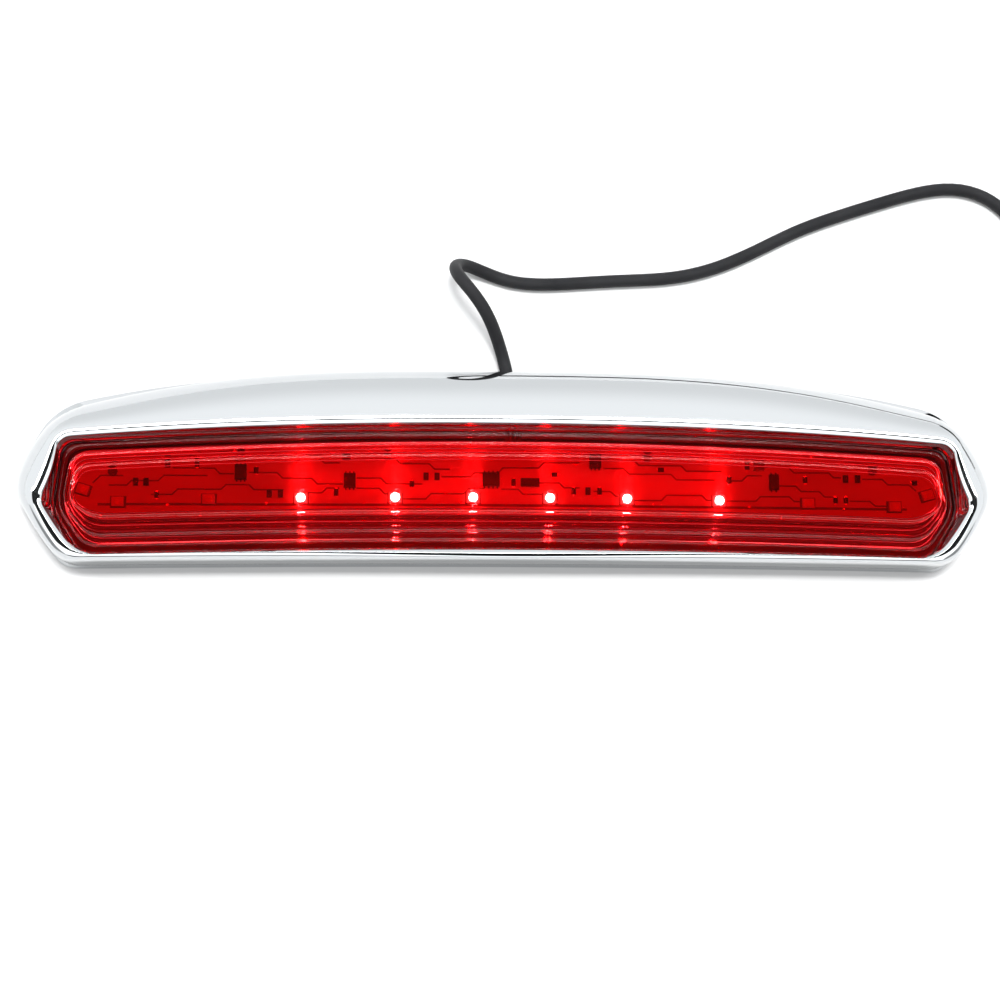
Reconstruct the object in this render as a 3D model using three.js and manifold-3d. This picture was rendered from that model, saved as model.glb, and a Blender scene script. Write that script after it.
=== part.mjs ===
// Third brake light: chrome housing, stepped red lens, LED board, back cover and sleeved lead.
// Millimetres. X runs along the lamp, Y towards its arched top edge, Z from the mounting face to the lens.
import * as THREE from "three";
import { mergeVertices } from "three/addons/utils/BufferGeometryUtils.js";
import Module from "manifold-3d";

const wasm = await Module();
wasm.setup();

// Heights above the mounting face.
const RIM_BAND_TOP = 3;
const LIP_TOP = 17;
const LIP_CREST = 17.4;
const SEAT_Z = 12;
const COVER_Z = [4.6, 6.2];
const CARRIER_Z = [6.5, 7.5];
const CARRIER_WALL_TOP = 9.5;
const POST_TOP = 7.8;
const BOARD_Z = [8.1, 9.5];
const FLANGE_Z = [9.8, 11];
const GASKET_Z = [11.25, 11.75];

// Wall thicknesses and gaps.
const SHELL_WALL = 1.9;
const SEAT_WIDTH = 1.7;
const FIT_GAP = 0.3;
const SOLDER_GAP = 0.1;
const COVER_GAP = 0.4;
const CARRIER_WALL = 1.4;

// Outlines: Y of the top edge at X = 0, the upper corner, the end point, the lower corner,
// Y of the bottom edge at X = 0, how far each corner is rounded, and how much the sides swell.
const RIM = {
  top: 28.9, corner: [132.4, 17.6], tip: [144.7, -8.8], foot: [129.6, -30.8], bottom: -29.7,
  arch: 3, round: [7, 5, 4], swell: [2.2, 0.9],
};
const CREASE = {
  top: 28.1, corner: [129.8, 15.4], tip: [143.8, -8.6], foot: [128.7, -30.2], bottom: -29.2,
  arch: 3, round: [7, 5, 4], swell: [2.6, 0.9],
};
const OPENING = {
  top: 10.3, corner: [129.6, 5], tip: [134.2, -12.8], foot: [122.6, -28.5], bottom: -26.5,
  arch: 2.2, round: [4, 2.5, 6], swell: [-0.9, 0.6],
};
const RECESS = {
  top: 8.9, corner: [129.2, 4.6], tip: [131.4, -15], foot: [123, -28.2], bottom: -26.2,
  arch: 2, round: [4, 4, 4], swell: [0.15, 0.15],
};
const BOARD = {
  top: 5.2, corner: [125.6, 2.2], tip: [127.4, -10.5], foot: [121.8, -17.2], bottom: -15.3,
  arch: 2, round: [4, 4, 4], swell: [0.15, 0.15],
};

// Each lens step: its outline and the height of the flat that ends at it.
const LENS_STEPS = [
  { top: 7.7, corner: [127.7, 3.2], tip: [129.7, -14.3], foot: [121.7, -25.6], bottom: -23.3, z: 12.6 },
  { top: 5, corner: [126.2, 0.4], tip: [128.2, -13.6], foot: [120.6, -22.9], bottom: -20.7, z: 13.6 },
  { top: 1.3, corner: [124.6, -3], tip: [126.7, -12.6], foot: [119.4, -17.6], bottom: -15.4, z: 14.6 },
];
const LENS_TOP = 15.6;

// LED row: it droops towards the ends like the lens does.
const LED_X = [11.2, 33.8, 61, 87.4, 113.2];
const LED_ROW_Y = -10.6;
const LED_ROW_DROOP = 1.9;
const END_LED = { x: 123.2, y: -9, turn: 0.28 };
const LED_SIZE = [3.5, 2.8, 1.2];

// Driver parts on the board: name, centre and size.
const CHIPS = [
  ["driver_chip", -6, -5.2, 5, 4, 1.4],
  ["transistor_01", -78.4, -3.6, 3.4, 4.4, 1.2],
  ["transistor_02", -47, -5.8, 3.4, 4.2, 1.2],
  ["transistor_03", 24.6, 0.2, 3.4, 3.6, 1.2],
  ["transistor_04", 77.4, -5.4, 2.8, 4.6, 1.2],
];
const BLOCKS = [
  ["protection_diode", 5.4, -6, 5.4, 2.4, 1.3],
  ["capacitor_01", 73, -0.8, 3.2, 2.2, 1.2],
  ["resistor_01", -108.4, -6.6, 1.5, 2.2, 0.6],
  ["resistor_02", -105.4, -6.6, 1.5, 2.2, 0.6],
  ["resistor_03", -99.4, -1, 1.6, 2.6, 0.6],
  ["resistor_04", -78.5, 2.6, 2.2, 1.4, 0.6],
  ["resistor_05", -70.1, -9.8, 1.5, 2.2, 0.6],
  ["resistor_06", -66.9, -9.8, 1.5, 2.2, 0.6],
  ["resistor_07", -48, 1, 2.4, 1.5, 0.6],
  ["resistor_08", -24.9, -4.4, 1.5, 2.2, 0.6],
  ["resistor_09", -21.7, -4.4, 1.5, 2.2, 0.6],
  ["resistor_10", 22.4, -8.4, 1.5, 2.2, 0.6],
  ["resistor_11", 98.9, -4.2, 1.5, 2.2, 0.6],
  ["resistor_12", 102.5, -4.2, 1.5, 2.2, 0.6],
];

// Moulded posts that carry the board, and pegs that pass through it and are headed over.
const PEGS = [[-115, -3.6], [-36, 1.8], [40, 1.8], [107, -1.6]];
const PEG_RADIUS = 0.9;
const LOWER_POSTS = [[-108, -14.2], [-36, -13.4], [40, -13.4], [108, -14.2]];

// Cover screws run up into bosses under the shoulder.
const SCREW_PLACES = [[-108, 12.8, 13.4], [-46, 16.5, 15.4], [46, 16.5, 15.4], [108, 12.8, 13.4]];
const SCREW_RADIUS = 1.3;
const SCREW_TOP = 12;
const BOSS_RADIUS = 3.2;

// Lead outlet at the back: notch in the rim, elbow on the cover, two wires to the board.
const NOTCH = { left: -4.2, right: 2.6, height: 4.7, corner: 1.8 };
const ELBOW = { x: 0.5, width: 9.6, y: [8.6, 19], z: [0.3, 4.3], slotEnd: 12.8, stubY: 10.7, stubTop: 7.4 };
const STUB_RADIUS = 1.7;
const WIRE_RADIUS = 0.55;
const PAD = { inner: 22, outer: 116, y: [-23, -3], z: [0, 4.3] };

// Lead: a soft sleeve that folds back on itself behind the lamp and runs off to the right.
// Its middle line is a cubic B-spline over these points.
const SLEEVE_RADIUS = 1.9;
const TABLE_Z = 2;
const SLEEVE_ROUTE = [
  [0.5, 13.2, 2.3], [0.4, 18, 2.3], [0, 24, 2.3], [-0.9, 29.2, 2.2], [-1.9, 33.4, 2.4], [-3.4, 37.2, 5.2],
  [-5.3, 41, 9.8], [-7.9, 45, 14], [-11.6, 49.6, 16.5], [-15.8, 54.7, 15.4], [-17.2, 59.4, 10.6],
  [-13.8, 61.7, 5], [-7.3, 59.8, TABLE_Z], [-1.4, 57.5, TABLE_Z], [5, 56.4, TABLE_Z], [13, 56.4, TABLE_Z],
  [22, 57.1, TABLE_Z], [34, 58, TABLE_Z], [48, 58.6, TABLE_Z], [59, 60.8, TABLE_Z], [69, 64.6, TABLE_Z],
  [79, 69.6, TABLE_Z], [90, 75.4, TABLE_Z], [104, 80.4, TABLE_Z], [118, 85, TABLE_Z], [130, 88.6, TABLE_Z],
  [141, 89.6, TABLE_Z], [151, 86, TABLE_Z], [157.6, 79, TABLE_Z], [161, 72, TABLE_Z],
];
const COIL = { x: 187, y: 66, radius: 21.5, turns: 3 };
const TAIL_ROUTE = [[191, 40, 2.2], [196, 40, 2.5], [200, 40, 3.4], [203, 40, 3.7], [208, 40, 3.7]];
const CONNECTOR = { x: 204, y: 40, length: 17, width: 9, height: 7 };

// ---------------------------------------------------------------- outlines

const lerp = (a, b, t) => a + (b - a) * t;

// A point on the side between two corners, swelled outwards in the middle.
function onSide(from, to, swell, t) {
  const dx = to[0] - from[0];
  const dy = to[1] - from[1];
  const push = (4 * t * (1 - t) * swell) / Math.hypot(dx, dy);
  return [lerp(from[0], to[0], t) + dy * push, lerp(from[1], to[1], t) - dx * push];
}

// A closed outline, anticlockwise from the middle of the bottom edge. All outlines have the same
// number of points, so that the same place along each of them has the same index.
function outline(o) {
  const bottomEdge = (t) => [o.foot[0] * t, lerp(o.bottom, o.foot[1], t * t)];
  const lowerSide = (t) => onSide(o.foot, o.tip, o.swell[1], t);
  const upperSide = (t) => onSide(o.tip, o.corner, o.swell[0], t);
  const topEdge = (t) => [o.corner[0] * (1 - t), lerp(o.top, o.corner[1], (1 - t) ** o.arch)];
  const lengths = [
    o.foot[0],
    Math.hypot(o.tip[0] - o.foot[0], o.tip[1] - o.foot[1]),
    Math.hypot(o.corner[0] - o.tip[0], o.corner[1] - o.tip[1]),
    o.corner[0],
  ];
  const edges = [bottomEdge, lowerSide, upperSide, topEdge];
  const steps = [9, 4, 5, 15];
  const roundAt = [o.round[2], o.round[1], o.round[0]];
  const rounding = (k, corner) => Math.min(roundAt[corner] / lengths[k], 0.42);
  const half = [];
  edges.forEach((edge, k) => {
    const start = k === 0 ? 0 : rounding(k, k - 1);
    const end = k === 3 ? 1 : 1 - rounding(k, k);
    for (let i = 0; i < steps[k]; i++) {
      half.push(edge(lerp(start, end, i / steps[k])));
    }
    if (k < 3) {
      half.push(...bend(edge(end), edge(1), edges[k + 1](rounding(k + 1, k)), 5));
    }
  });
  half.push([0, o.top]);
  const mirrored = half.slice(1, -1).reverse().map(([x, y]) => [-x, y]);
  return [...half, ...mirrored];
}

// A rounded corner from one point to another, without its last point.
function bend(from, corner, to, count) {
  const points = [];
  for (let i = 0; i < count; i++) {
    const t = i / count;
    const along = (k) => (1 - t) ** 2 * from[k] + 2 * t * (1 - t) * corner[k] + t ** 2 * to[k];
    points.push([along(0), along(1)]);
  }
  return points;
}

// The same outline drawn smaller, or larger if the amount is negative.
function inset(o, by) {
  return {
    ...o,
    top: o.top - by,
    corner: [o.corner[0] - by, o.corner[1] - by],
    tip: [o.tip[0] - by, o.tip[1]],
    foot: [o.foot[0] - 0.7 * by, o.foot[1] + by],
    bottom: o.bottom + by,
  };
}

const ring = (o, z) => outline(o).map(([x, y]) => [x, y, z]);

// ---------------------------------------------------------------- solids

// Walls between neighbouring rings. An open stack gets a cap at each end; a closed one joins up.
function stack(rings, closed = false) {
  const n = rings[0].length;
  const index = [];
  const count = closed ? rings.length : rings.length - 1;
  for (let k = 0; k < count; k++) {
    const here = k * n;
    const next = ((k + 1) % rings.length) * n;
    for (let i = 0; i < n; i++) {
      const j = (i + 1) % n;
      index.push(here + i, here + j, next + j, here + i, next + j, next + i);
    }
  }
  if (!closed) {
    const last = (rings.length - 1) * n;
    for (const [a, b, c] of capTriangles(rings[0])) {
      index.push(a, c, b);
    }
    for (const [a, b, c] of capTriangles(rings.at(-1))) {
      index.push(last + a, last + b, last + c);
    }
  }
  const geometry = new THREE.BufferGeometry();
  geometry.setAttribute("position", new THREE.Float32BufferAttribute(rings.flat(2), 3));
  geometry.setIndex(index);
  return geometry;
}

function capTriangles(points) {
  return THREE.ShapeUtils.triangulateShape(points.map(([x, y]) => new THREE.Vector2(x, y)), []);
}

function box(x0, x1, y0, y1, z0, z1) {
  const geometry = new THREE.BoxGeometry(x1 - x0, y1 - y0, z1 - z0);
  return geometry.translate((x0 + x1) / 2, (y0 + y1) / 2, (z0 + z1) / 2);
}

function post(x, y, z0, z1, radius, sides = 16) {
  const geometry = new THREE.CylinderGeometry(radius, radius, z1 - z0, sides);
  return geometry.rotateX(Math.PI / 2).translate(x, y, (z0 + z1) / 2);
}

function lathe(profile, sides = 16) {
  const points = profile.map(([r, z]) => new THREE.Vector2(r, z));
  return new THREE.LatheGeometry(points, sides).rotateX(Math.PI / 2);
}

// A cubic B-spline over control points, from the first of them to the last.
function smoothRoute(points) {
  const held = [points[0], points[0], ...points, points.at(-1), points.at(-1)];
  const route = [];
  for (let i = 0; i + 3 < held.length; i++) {
    for (const t of [0, 0.25, 0.5, 0.75]) {
      const weights = [(1 - t) ** 3, 3 * t ** 3 - 6 * t ** 2 + 4, 3 * (t + t ** 2 - t ** 3) + 1, t ** 3];
      route.push([0, 1, 2].map((k) => weights.reduce((sum, w, j) => sum + (w * held[i + j][k]) / 6, 0)));
    }
  }
  return [...route, points.at(-1)];
}

function tube(control, radius, sides, steps) {
  const route = smoothRoute(control).map((p) => new THREE.Vector3(...p));
  const curve = new THREE.CatmullRomCurve3(route, false, "centripetal");
  const circle = new THREE.Shape();
  circle.absarc(0, 0, radius, 0, 2 * Math.PI);
  const options = { steps, extrudePath: curve, curveSegments: sides };
  return new THREE.ExtrudeGeometry(circle, options);
}

function toSolid(geometry) {
  const bare = new THREE.BufferGeometry();
  bare.setAttribute("position", geometry.getAttribute("position"));
  bare.setIndex(geometry.getIndex());
  const merged = mergeVertices(bare, 1e-5);
  return new wasm.Manifold(new wasm.Mesh({
    numProp: 3,
    vertProperties: new Float32Array(merged.getAttribute("position").array),
    triVerts: new Uint32Array(merged.getIndex().array),
  }));
}

function toGeometry(solid) {
  const mesh = solid.getMesh();
  const geometry = new THREE.BufferGeometry();
  geometry.setAttribute("position", new THREE.BufferAttribute(new Float32Array(mesh.vertProperties), 3));
  geometry.setIndex(new THREE.BufferAttribute(new Uint32Array(mesh.triVerts), 1));
  return geometry;
}

// Adds and then cuts away geometries from a first one.
function shaped(first, added, cut) {
  let solid = toSolid(first);
  for (const geometry of added) {
    solid = solid.add(toSolid(geometry));
  }
  for (const geometry of cut) {
    solid = solid.subtract(toSolid(geometry));
  }
  return toGeometry(solid);
}

// ---------------------------------------------------------------- housing section

// Across the housing at one place along it: from the recess's lower edge outwards to the rim.
function sectionAt(i) {
  const recess = RECESS_LINE[i];
  const rim = RIM_LINE[i];
  const width = Math.hypot(rim[0] - recess[0], rim[1] - recess[1]);
  const out = [(rim[0] - recess[0]) / width, (rim[1] - recess[1]) / width];
  const opening = OPENING_LINE[i];
  const openingOffset = Math.hypot(opening[0] - recess[0], opening[1] - recess[1]);
  const shoulderIn = 0.68 * openingOffset + SHELL_WALL;
  const creaseIn = Math.max(width - 0.8 - SHELL_WALL, shoulderIn + 0.15);
  const room = creaseIn - shoulderIn;
  return {
    width,
    creaseIn,
    shoulderIn,
    rimIn: Math.max(width - 2.1, creaseIn),
    innerTop: SEAT_Z + Math.min(3.2, 0.3 * room),
    power: 2 + 1.5 * ((room - 9) / 7.5) ** 2,
    at: (distance, z) => [recess[0] + out[0] * distance, recess[1] + out[1] * distance, z],
  };
}

// Height of the shoulder where 0 is its crest and 1 the crease above the rim.
function shoulderZ(top, power, s) {
  return RIM_BAND_TOP + (top - RIM_BAND_TOP) * (1 - s ** power) ** (1 / power);
}

// How far the inside of the shell is from the recess's lower edge, at a height below the shoulder.
function innerReach(section, z) {
  const share = (z - RIM_BAND_TOP) / (section.innerTop - RIM_BAND_TOP);
  const s = (1 - share ** section.power) ** (1 / section.power);
  return lerp(section.shoulderIn, section.creaseIn, s);
}

const RIM_LINE = outline(RIM);
const CREASE_LINE = outline(CREASE);
const OPENING_LINE = outline(OPENING);
const RECESS_LINE = outline(RECESS);
const SECTIONS = RECESS_LINE.map((_, i) => sectionAt(i));
const SHOULDER_STEPS = [0.12, 0.28, 0.44, 0.6, 0.75, 0.88, 0.96];

// ---------------------------------------------------------------- parts

function housingShell() {
  const crest = OPENING_LINE.map((p, i) => onSide(p, CREASE_LINE[i], 0, 0.05));
  const blend = (i, s) => onSide(crest[i], CREASE_LINE[i], 0, s);
  const outer = [...SHOULDER_STEPS].reverse().map((s) =>
    SECTIONS.map((section, i) => [...blend(i, s), shoulderZ(LIP_CREST, section.power, s)]));
  const inner = SHOULDER_STEPS.map((s) =>
    SECTIONS.map((c) => c.at(lerp(c.shoulderIn, c.creaseIn, s), shoulderZ(c.innerTop, c.power, s))));
  return stack([
    RIM_LINE.map((p) => [...p, 0]),
    RIM_LINE.map((p) => [...p, 0.7]),
    CREASE_LINE.map((p) => [...p, RIM_BAND_TOP]),
    ...outer,
    crest.map((p) => [...p, LIP_CREST]),
    OPENING_LINE.map((p) => [...p, LIP_TOP]),
    RECESS_LINE.map((p) => [...p, SEAT_Z]),
    SECTIONS.map((c) => c.at(SEAT_WIDTH, SEAT_Z)),
    SECTIONS.map((c) => c.at(c.shoulderIn, c.innerTop)),
    ...inner,
    SECTIONS.map((c) => c.at(c.creaseIn, RIM_BAND_TOP)),
    SECTIONS.map((c) => c.at(c.rimIn, 0)),
  ], true);
}

// The notch's profile in X and Z, pushed through the rear rim along Y.
function notchCutter() {
  const { left, right, height, corner } = NOTCH;
  const shape = new THREE.Shape();
  shape.moveTo(left, -1);
  shape.lineTo(left, height - corner);
  shape.absarc(left + corner, height - corner, corner, Math.PI, Math.PI / 2, true);
  shape.absarc(right - corner, height - corner, corner, Math.PI / 2, 0, true);
  shape.lineTo(right, -1);
  shape.closePath();
  const geometry = new THREE.ExtrudeGeometry(shape, { depth: 10, bevelEnabled: false, curveSegments: 6 });
  return geometry.rotateX(Math.PI / 2).translate(0, 35, 0);
}

function housing() {
  const bosses = SCREW_PLACES.map(([x, y, top]) => post(x, y, COVER_Z[1] + FIT_GAP, top, BOSS_RADIUS));
  const holes = SCREW_PLACES.map(([x, y]) => post(x, y, COVER_Z[1], SCREW_TOP + 0.6, SCREW_RADIUS + FIT_GAP));
  return shaped(housingShell(), bosses, [...holes, notchCutter()]);
}

function lens() {
  const edge = inset(RECESS, FIT_GAP);
  const steps = LENS_STEPS.map((step) => ({ ...RECESS, ...step }));
  const rings = [
    ring(inset(steps[2], 1.6), LENS_TOP - 1.8),
    ring(inset(RECESS, 3.2), SEAT_Z - 0.6),
    ring(inset(RECESS, 3.2), FLANGE_Z[0]),
    ring(inset(RECESS, -1), FLANGE_Z[0]),
    ring(inset(RECESS, -1), FLANGE_Z[1]),
    ring(edge, FLANGE_Z[1]),
    ring(edge, steps[0].z),
  ];
  steps.forEach((step, k) => {
    rings.push(ring(step, step.z));
    rings.push(ring(step, k < 2 ? steps[k + 1].z : LENS_TOP));
  });
  return stack(rings);
}

function lensGasket() {
  const outer = inset(RECESS, -1);
  const inner = inset(RECESS, -0.1);
  return stack([
    ring(outer, GASKET_Z[0]), ring(outer, GASKET_Z[1]), ring(inner, GASKET_Z[1]), ring(inner, GASKET_Z[0]),
  ], true);
}

function backCover() {
  const reach = (c) => innerReach(c, COVER_Z[1]) - COVER_GAP;
  const plate = stack(COVER_Z.map((z) => SECTIONS.map((c) => c.at(reach(c), z))));
  const cut = SCREW_PLACES.map(([x, y]) => post(x, y, 4, 7, SCREW_RADIUS + FIT_GAP));
  cut.push(post(ELBOW.x, ELBOW.stubY, 4, 7, STUB_RADIUS + FIT_GAP));
  return shaped(plate, [], cut);
}

function boardCarrier() {
  const outer = inset(RECESS, 0.4);
  const inner = inset(RECESS, 0.4 + CARRIER_WALL);
  const tray = stack([
    ring(outer, CARRIER_Z[0]), ring(outer, CARRIER_WALL_TOP),
    ring(inner, CARRIER_WALL_TOP), ring(inner, CARRIER_Z[1]),
  ]);
  const posts = [...PEGS, ...LOWER_POSTS].map(([x, y]) => post(x, y, 7, POST_TOP, 2.2, 12));
  const pegs = PEGS.flatMap(([x, y]) => [
    post(x, y, 7, BOARD_Z[1] + 0.6, PEG_RADIUS, 12),
    post(x, y, BOARD_Z[1] + FIT_GAP, BOARD_Z[1] + 0.8, 1.4, 12),
  ]);
  const wireSlot = box(ELBOW.x - 2.5, ELBOW.x + 2.5, 6.2, 9.4, CARRIER_Z[1], 10);
  return shaped(tray, [...posts, ...pegs], [wireSlot]);
}

function circuitBoard() {
  const plate = stack(BOARD_Z.map((z) => ring(BOARD, z)));
  return shaped(plate, [], PEGS.map(([x, y]) => post(x, y, 7, 11, PEG_RADIUS + FIT_GAP, 12)));
}

function led(x, y, turn) {
  const [length, width, height] = LED_SIZE;
  const body = box(-length / 2, length / 2, -width / 2, width / 2, 0, height);
  const window = post(0, 0, height / 2, height + 0.2, 1.15);
  return shaped(body, [window], []).rotateZ(turn).translate(x, y, BOARD_Z[1] + SOLDER_GAP);
}

// A moulded chip with a row of legs down each side.
function chip(x, y, length, width, height) {
  const legs = [];
  const count = Math.max(2, Math.round(length / 1.3));
  for (let i = 0; i < count; i++) {
    const at = ((i + 0.5) / count - 0.5) * length;
    legs.push(box(at - 0.2, at + 0.2, -width / 2 - 0.6, width / 2 + 0.6, 0, 0.3));
  }
  const body = box(-length / 2, length / 2, -width / 2, width / 2, 0.1, height);
  return shaped(body, legs, []).translate(x, y, BOARD_Z[1] + SOLDER_GAP);
}

function block(x, y, length, width, height) {
  const z = BOARD_Z[1] + SOLDER_GAP;
  return box(x - length / 2, x + length / 2, y - width / 2, y + width / 2, z, z + height);
}

function coverScrew(x, y) {
  const under = COVER_Z[0] - 0.15;
  return lathe([
    [0, under - 1.7], [1.6, under - 1.6], [2.5, under - 0.9], [2.6, under],
    [SCREW_RADIUS, under], [SCREW_RADIUS, SCREW_TOP - 1], [0, SCREW_TOP],
  ]).translate(x, y, 0);
}

function elbow() {
  const half = ELBOW.width / 2;
  const slot = SLEEVE_RADIUS + 0.2;
  const block = box(ELBOW.x - half, ELBOW.x + half, ...ELBOW.y, ...ELBOW.z);
  const stub = post(ELBOW.x, ELBOW.stubY, 4, ELBOW.stubTop, STUB_RADIUS);
  return shaped(block, [stub], [box(ELBOW.x - slot, ELBOW.x + slot, ELBOW.slotEnd, 20, 0, 5)]);
}

function innerWire(x) {
  const z = ELBOW.stubTop + 0.1;
  const y = ELBOW.stubY;
  return tube([[x, y, z], [x, y - 0.3, z + 0.8], [x, y - 1.6, z + 1.3], [x, 5.7, z + 1.3]], WIRE_RADIUS, 8, 10);
}

function foamPad(side) {
  const ends = [side * PAD.inner, side * PAD.outer].sort((a, b) => a - b);
  return box(...ends, ...PAD.y, ...PAD.z);
}

// The coiled length: a little over two turns lying on each other, as one closed ring.
function coil() {
  const { radius, turns } = COIL;
  const height = turns * 2 * SLEEVE_RADIUS;
  const w = SLEEVE_RADIUS;
  const profile = [
    [radius - w, 0.6], [radius - w + 0.6, 0], [radius + w - 0.6, 0], [radius + w, 0.6],
    [radius + w, height - 0.6], [radius + w - 0.6, height], [radius - w + 0.6, height],
    [radius - w, height - 0.6], [radius - w, 0.6],
  ];
  return lathe(profile, 40).translate(COIL.x, COIL.y, 0.1);
}

// A flat tie round the coil, standing off it slightly.
function coilTie() {
  const top = COIL.turns * 2 * SLEEVE_RADIUS + 0.1;
  const y = COIL.y + COIL.radius;
  const reach = SLEEVE_RADIUS + 0.3;
  const band = box(COIL.x - 1.5, COIL.x + 1.5, y - reach - 0.8, y + reach + 0.8, 0, top + 1.1);
  const hole = box(COIL.x - 2, COIL.x + 2, y - reach, y + reach, -1, top + 0.3);
  return shaped(band, [], [hole]);
}

// The connector lies along X, with the lead at its near end and its socket at the far end.
function connectorBody() {
  const { x, y, length, width, height } = CONNECTOR;
  const body = box(x, x + length, y - width / 2, y + width / 2, 0.2, height + 0.2);
  const latch = box(x + 5, x + length - 1, y - 1.5, y + 1.5, height, height + 1.4);
  const bore = post(0, 0, -1, 5, SLEEVE_RADIUS + 0.2).rotateY(Math.PI / 2).translate(x, y, 3.7);
  const socket = box(x + length - 7, x + length + 1, y - width / 2 + 1, y + width / 2 - 1, 1.2, height - 0.8);
  return shaped(body, [latch], [bore, socket]);
}

function connectorPin(side) {
  const { x, y, length } = CONNECTOR;
  const end = x + length;
  const middle = y + side * 1.8;
  return box(end - 6.7, end - 1.4, middle - 0.5, middle + 0.5, 3.2, 4.2);
}

// ---------------------------------------------------------------- materials

const material = (color, roughness, metalness) => new THREE.MeshStandardMaterial({ color, roughness, metalness });
const chrome = () => material(0xdfe3e6, 0.08, 1);
const redLens = () => material(0xb3000f, 0.08, 0);
const blackPlastic = () => material(0x101113, 0.5, 0);
const blackRubber = () => material(0x161718, 0.85, 0);
const boardEnamel = () => material(0xe8e4dd, 0.5, 0);
const ledPackage = () => material(0xf3ecd8, 0.35, 0);
const chipResin = () => material(0x15151a, 0.45, 0);
const screwSteel = () => material(0x9fa3a6, 0.35, 0.9);
const foam = () => material(0x2a2b2d, 0.95, 0);
const sleeve = () => material(0x1b1d1f, 0.7, 0);
const redWire = () => material(0xa81818, 0.5, 0);
const brass = () => material(0xc2a25a, 0.3, 0.9);

// ---------------------------------------------------------------- assembly

const lamp = new THREE.Group();
lamp.name = "third_brake_light";

function add(name, geometry, look) {
  const mesh = new THREE.Mesh(geometry, look);
  mesh.name = name;
  lamp.add(mesh);
}

const numbered = (name, i) => `${name}_${String(i + 1).padStart(2, "0")}`;

add("chrome_housing", housing(), chrome());
add("outer_lens", lens(), redLens());
add("lens_gasket", lensGasket(), blackRubber());
add("back_cover", backCover(), blackPlastic());
add("board_carrier", boardCarrier(), blackPlastic());
add("circuit_board", circuitBoard(), boardEnamel());

const row = [...LED_X.map((x) => -x).reverse(), ...LED_X];
const rowY = (x) => LED_ROW_Y - LED_ROW_DROOP * (x / 113.2) ** 2.4;
const ledPlaces = [
  [-END_LED.x, END_LED.y, -END_LED.turn],
  ...row.map((x) => [x, rowY(Math.abs(x)), 0]),
  [END_LED.x, END_LED.y, END_LED.turn],
];
ledPlaces.forEach((place, i) => add(numbered("led", i), led(...place), ledPackage()));

for (const [name, ...place] of CHIPS) {
  add(name, chip(...place), chipResin());
}
for (const [name, ...place] of BLOCKS) {
  add(name, block(...place), chipResin());
}
SCREW_PLACES.forEach((place, i) => add(numbered("cover_screw", i), coverScrew(...place), screwSteel()));

add("cable_elbow", elbow(), blackRubber());
add("inner_wire_red", innerWire(ELBOW.x - 0.8), redWire());
add("inner_wire_black", innerWire(ELBOW.x + 0.8), blackPlastic());
add("foam_pad_left", foamPad(-1), foam());
add("foam_pad_right", foamPad(1), foam());

add("cord_sleeve", tube(SLEEVE_ROUTE, SLEEVE_RADIUS, 10, 84), sleeve());
add("cord_coil", coil(), sleeve());
add("cord_tail", tube(TAIL_ROUTE, SLEEVE_RADIUS, 10, 8), sleeve());
add("coil_tie", coilTie(), blackPlastic());
add("connector_body", connectorBody(), blackPlastic());
add("connector_pin_left", connectorPin(-1), brass());
add("connector_pin_right", connectorPin(1), brass());

export default lamp;
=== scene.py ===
"""Third brake light lying on its back.

Mirror-chrome housing, stepped red lens over a lit LED board, and a sleeved lead.
"""

import math

import bmesh
import bpy
import numpy as np
from mathutils import Matrix, Vector


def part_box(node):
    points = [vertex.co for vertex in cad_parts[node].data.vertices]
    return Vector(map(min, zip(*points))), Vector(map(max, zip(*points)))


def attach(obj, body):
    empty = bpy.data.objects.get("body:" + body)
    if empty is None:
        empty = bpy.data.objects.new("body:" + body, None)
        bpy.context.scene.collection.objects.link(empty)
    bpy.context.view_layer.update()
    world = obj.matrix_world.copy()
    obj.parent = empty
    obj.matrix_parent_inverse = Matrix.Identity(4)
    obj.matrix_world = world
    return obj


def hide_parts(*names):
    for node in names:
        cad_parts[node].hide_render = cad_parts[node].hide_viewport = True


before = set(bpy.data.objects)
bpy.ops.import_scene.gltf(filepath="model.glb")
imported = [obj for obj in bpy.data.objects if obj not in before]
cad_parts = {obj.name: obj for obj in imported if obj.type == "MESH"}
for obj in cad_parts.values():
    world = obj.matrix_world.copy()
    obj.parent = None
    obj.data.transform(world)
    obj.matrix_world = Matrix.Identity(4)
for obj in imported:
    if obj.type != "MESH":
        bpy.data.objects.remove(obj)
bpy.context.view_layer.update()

MM = 0.001

# ------------------------------------------------------------------ driving dimensions, millimetres

# Heights above the table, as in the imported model.
RIM_BAND_TOP = 3.0
LIP_TOP = 17.0
LIP_CREST = 17.4
LIP_FLARE, LIP_FLAT = 1.0, 1.0
SHOULDER_SLOPE = 0.075
SEAT_Z = 12.0
BOARD_TOP = 9.5
FLANGE_Z = (9.8, 11.0)
SHELL_WALL = 1.9
SEAT_WIDTH = 1.7

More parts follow.
